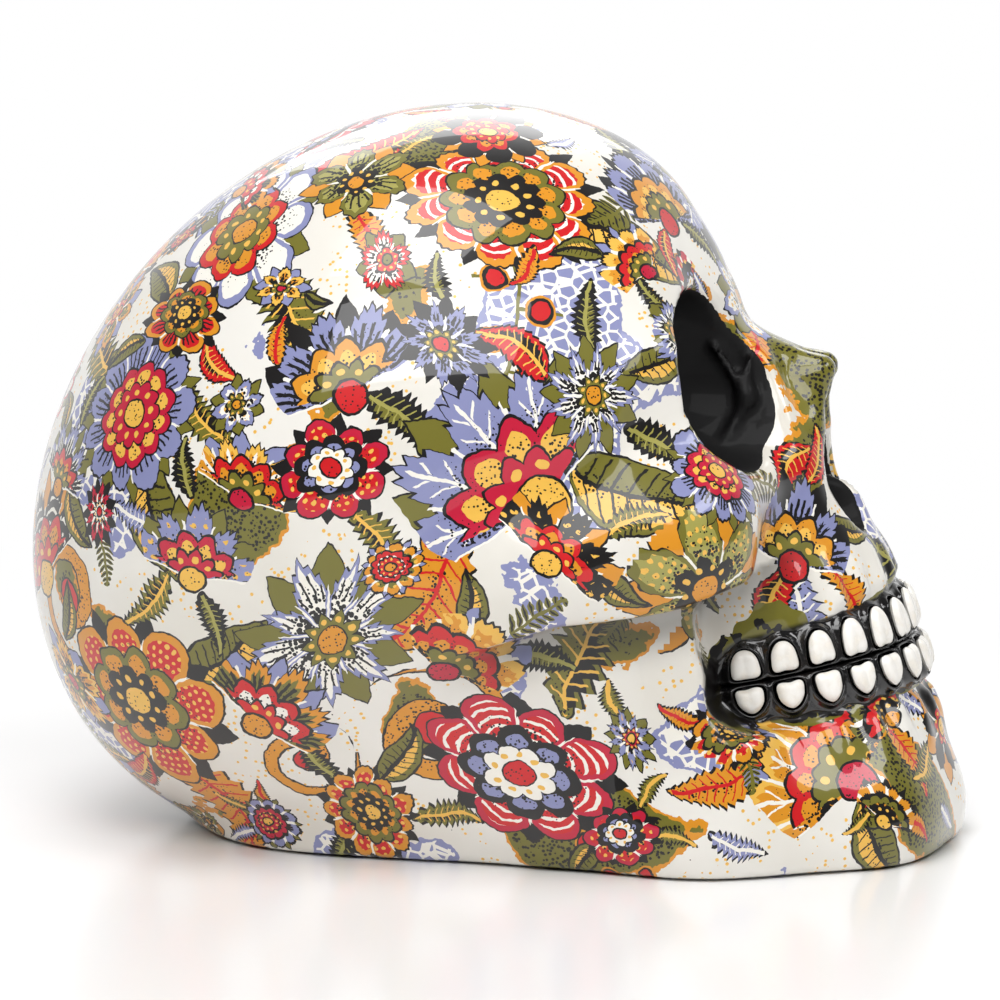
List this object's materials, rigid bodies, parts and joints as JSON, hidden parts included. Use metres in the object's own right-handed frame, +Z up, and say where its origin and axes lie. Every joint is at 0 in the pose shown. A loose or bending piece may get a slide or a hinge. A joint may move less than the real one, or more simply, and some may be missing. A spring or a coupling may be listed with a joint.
{
  "type": "skull ornament",
  "caption": "Hollow glossy resin skull ornament with a closed jaw, black gums, white teeth and a floral printed skin, standing on a flat felted base.",
  "frame": {"origin": "on the flat resting face under the felt, below the middle of the skull's length", "axes": "+Z up from the table, -Y the way the face looks, X across the skull"},
  "size_m": [0.1394, 0.2002, 0.1545],
  "materials": {
    "printed_resin": "cast resin, off-white with an all-over floral print under clear gloss lacquer",
    "black_gloss": "black gloss paint",
    "tooth_enamel": "white gloss enamel paint",
    "base_board": "plain board, unseen in use",
    "base_felt": "thin black felt"
  },
  "bodies": {
    "root": {"skull_shell": "printed_resin", "upper_gum": "black_gloss", "lower_gum": "black_gloss", "base_plate": "base_board", "base_felt": "base_felt", "tooth_upper_left_1": "tooth_enamel", "tooth_upper_left_2": "tooth_enamel", "tooth_upper_left_3": "tooth_enamel", "tooth_upper_left_4": "tooth_enamel", "tooth_upper_left_5": "tooth_enamel", "tooth_upper_left_6": "tooth_enamel", "tooth_upper_left_7": "tooth_enamel", "tooth_upper_right_1": "tooth_enamel", "tooth_upper_right_2": "tooth_enamel", "tooth_upper_right_3": "tooth_enamel", "tooth_upper_right_4": "tooth_enamel", "tooth_upper_right_5": "tooth_enamel", "tooth_upper_right_6": "tooth_enamel", "tooth_upper_right_7": "tooth_enamel", "tooth_lower_left_1": "tooth_enamel", "tooth_lower_left_2": "tooth_enamel", "tooth_lower_left_3": "tooth_enamel", "tooth_lower_left_4": "tooth_enamel", "tooth_lower_left_5": "tooth_enamel", "tooth_lower_left_6": "tooth_enamel", "tooth_lower_left_7": "tooth_enamel", "tooth_lower_right_1": "tooth_enamel", "tooth_lower_right_2": "tooth_enamel", "tooth_lower_right_3": "tooth_enamel", "tooth_lower_right_4": "tooth_enamel", "tooth_lower_right_5": "tooth_enamel", "tooth_lower_right_6": "tooth_enamel", "tooth_lower_right_7": "tooth_enamel"}
  },
  "joints": []
}
